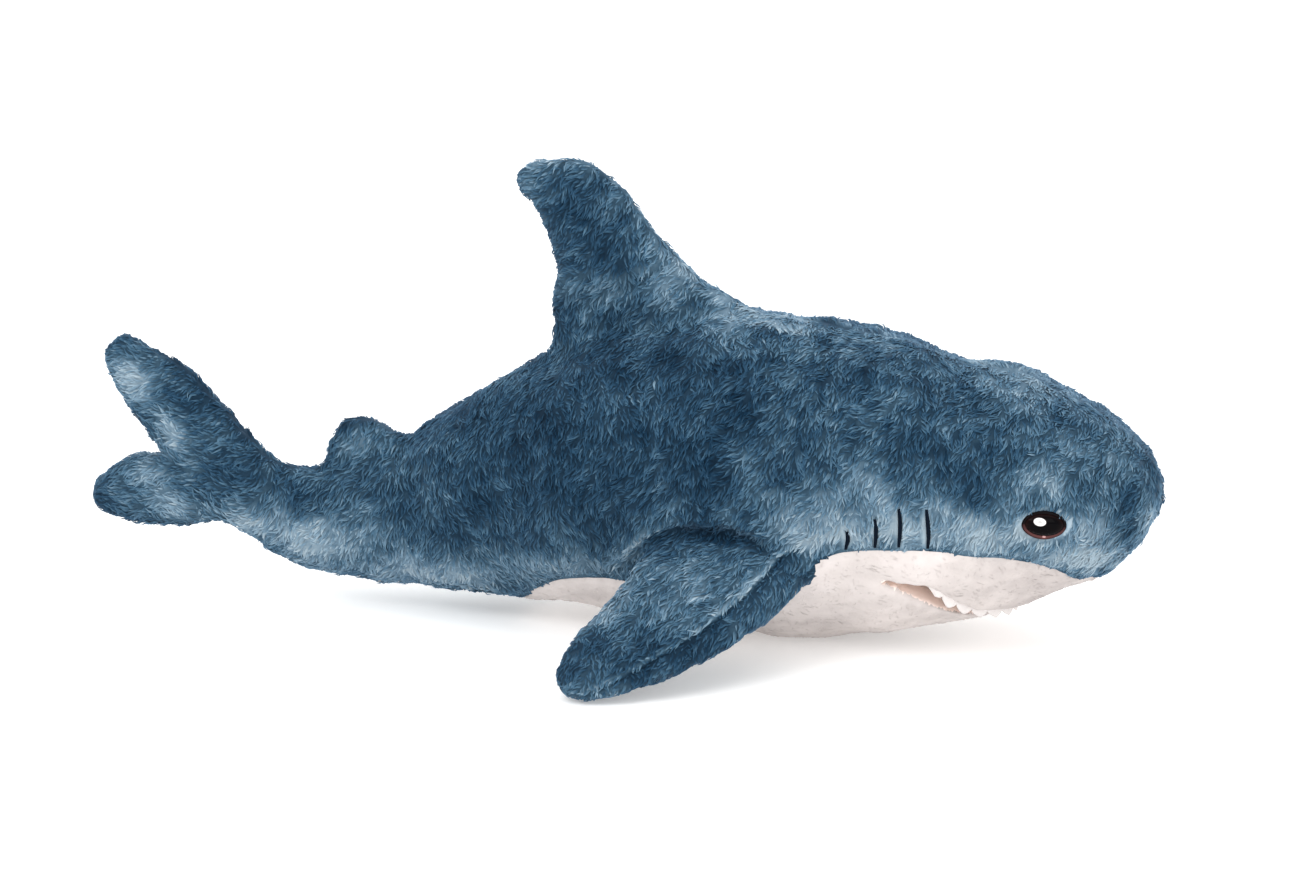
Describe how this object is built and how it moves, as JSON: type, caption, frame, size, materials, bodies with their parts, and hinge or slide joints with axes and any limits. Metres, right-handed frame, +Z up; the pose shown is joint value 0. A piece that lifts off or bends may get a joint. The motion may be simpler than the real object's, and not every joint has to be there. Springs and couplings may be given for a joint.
{
  "type": "plush shark",
  "caption": "Stuffed plush shark lying on its belly, with a jaw that opens, a tail that bends and fins that flop.",
  "frame": {"origin": "on the floor, under the middle of the bounding box", "axes": "+X to the nose, +Y to the shark's left, +Z up"},
  "size_m": [0.55, 0.2838, 0.238],
  "materials": {
    "blue_plush": "short brushed polyester pile, grey-blue",
    "white_plush": "short white polyester nap",
    "mouth_lining": "smooth peach knit",
    "felt": "white felt",
    "fibre_filling": "loose polyester fibre",
    "eye_plastic": "polished near-black",
    "eye_rim": "polished dark brown",
    "washer_plastic": "plain moulded",
    "thread": "dark navy embroidery thread"
  },
  "bodies": {
    "torso": {"torso_skin_right": "blue_plush", "torso_skin_left": "blue_plush", "belly_panel": "white_plush", "snout_panel": "white_plush", "mouth_roof_lining": "mouth_lining", "upper_teeth": "felt", "torso_filling": "fibre_filling", "eye_right": "eye_plastic", "eye_left": "eye_plastic", "eye_rim_right": "eye_rim", "eye_rim_left": "eye_rim", "eye_washer_right": "washer_plastic", "eye_washer_left": "washer_plastic", "gill_stitches_right": "thread", "gill_stitches_left": "thread"},
    "tail_stock": {"tail_skin_right": "blue_plush", "tail_skin_left": "blue_plush", "tail_filling": "fibre_filling", "second_dorsal_right": "blue_plush", "second_dorsal_left": "blue_plush"},
    "tail_fin": {"caudal_skin_right": "blue_plush", "caudal_skin_left": "blue_plush", "caudal_filling": "fibre_filling"},
    "dorsal_fin": {"dorsal_skin_right": "blue_plush", "dorsal_skin_left": "blue_plush", "dorsal_filling": "fibre_filling"},
    "pectoral_fin_right": {"pectoral_top_right": "blue_plush", "pectoral_under_right": "blue_plush", "pectoral_filling_right": "fibre_filling"},
    "pectoral_fin_left": {"pectoral_top_left": "blue_plush", "pectoral_under_left": "blue_plush", "pectoral_filling_left": "fibre_filling"},
    "lower_jaw": {"jaw_skin": "white_plush", "jaw_lining": "mouth_lining", "jaw_filling": "fibre_filling"}
  },
  "joints": [
    {"name": "tail_bend", "type": "hinge", "parent": "torso", "child": "tail_stock", "pos_m": [-0.027, 0, 0.05], "axis": [0, 0, 1], "range_deg": [-25, 25], "stiffness_Nm_per_rad": 0.05},
    {"name": "tail_fin_bend", "type": "hinge", "parent": "tail_stock", "child": "tail_fin", "pos_m": [-0.164, 0, 0.05], "axis": [0, 0, 1], "range_deg": [-30, 30], "stiffness_Nm_per_rad": 0.02},
    {"name": "dorsal_flop", "type": "hinge", "parent": "torso", "child": "dorsal_fin", "pos_m": [0.0175, 0, 0.14975], "axis": [0.9643, 0, 0.2649], "range_deg": [-25, 25], "stiffness_Nm_per_rad": 0.08},
    {"name": "pectoral_flap_right", "type": "hinge", "parent": "torso", "child": "pectoral_fin_right", "pos_m": [0.073, -0.065, 0.054], "axis": [-1, 0, 0], "range_deg": [-1, 45], "stiffness_Nm_per_rad": 0.08},
    {"name": "pectoral_flap_left", "type": "hinge", "parent": "torso", "child": "pectoral_fin_left", "pos_m": [0.073, 0.065, 0.054], "axis": [1, 0, 0], "range_deg": [-1, 45], "stiffness_Nm_per_rad": 0.08},
    {"name": "jaw_open", "type": "hinge", "parent": "torso", "child": "lower_jaw", "pos_m": [0.147, 0, 0.004], "axis": [0, 1, 0], "range_deg": [0, 12], "stiffness_Nm_per_rad": 0.1, "springref_deg": -3.44}
  ]
}
